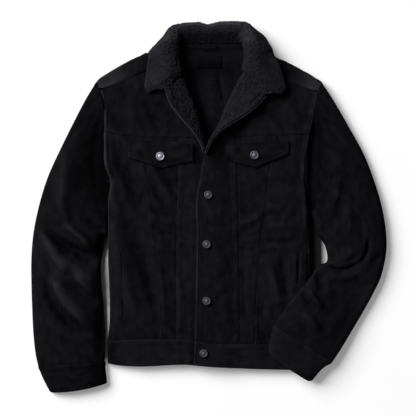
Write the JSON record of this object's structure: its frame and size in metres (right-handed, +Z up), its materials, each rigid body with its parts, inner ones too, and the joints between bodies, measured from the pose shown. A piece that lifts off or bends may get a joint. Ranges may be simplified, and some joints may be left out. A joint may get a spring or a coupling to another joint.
{
  "type": "sherpa lined jacket",
  "caption": "Corduroy trucker jacket with a sherpa collar, turned-out sherpa lapels and lining, flap pockets and metal buttons, buttoned and laid flat on its back.",
  "frame": {"origin": "middle of the back panel's flat underside, on the surface the jacket lies on", "axes": "+Y from hem to collar, +X towards the wearer's left sleeve (the viewer's right), +Z up from the surface"},
  "size_m": [0.727, 0.7574, 0.0469],
  "materials": {
    "corduroy": "matt black cotton corduroy with fine lengthwise ribs",
    "sherpa": "matt black curled pile",
    "label_satin": "woven black satin, bare",
    "gunmetal": "antiqued dark metal"
  },
  "bodies": {
    "root": {"back_panel": "corduroy", "back_yoke": "corduroy", "hem_back": "corduroy", "front_side_left": "corduroy", "front_side_right": "corduroy", "front_mid_left": "corduroy", "front_mid_right": "corduroy", "front_centre_left": "corduroy", "front_centre_right": "corduroy", "hem_front_left": "corduroy", "hem_front_right": "corduroy", "chest_yoke_left": "corduroy", "chest_yoke_right": "corduroy", "shoulder_left": "corduroy", "shoulder_right": "corduroy", "sleeve_upper_left": "corduroy", "sleeve_upper_right": "corduroy", "sleeve_under_left": "corduroy", "sleeve_under_right": "corduroy", "cuff_top_left": "corduroy", "cuff_top_right": "corduroy", "cuff_under_left": "corduroy", "cuff_under_right": "corduroy", "lapel_shell_left": "corduroy", "lapel_shell_right": "corduroy", "flap_left": "corduroy", "flap_right": "corduroy", "welt_left": "corduroy", "welt_right": "corduroy", "hanger_loop": "corduroy", "back_lining": "sherpa", "lapel_facing_left": "sherpa", "lapel_facing_right": "sherpa", "collar_fall": "sherpa", "collar_stand": "sherpa", "neck_label": "label_satin", "button_1": "gunmetal", "button_2": "gunmetal", "button_3": "gunmetal", "button_4": "gunmetal", "button_flap_left": "gunmetal", "button_flap_right": "gunmetal"}
  },
  "joints": []
}
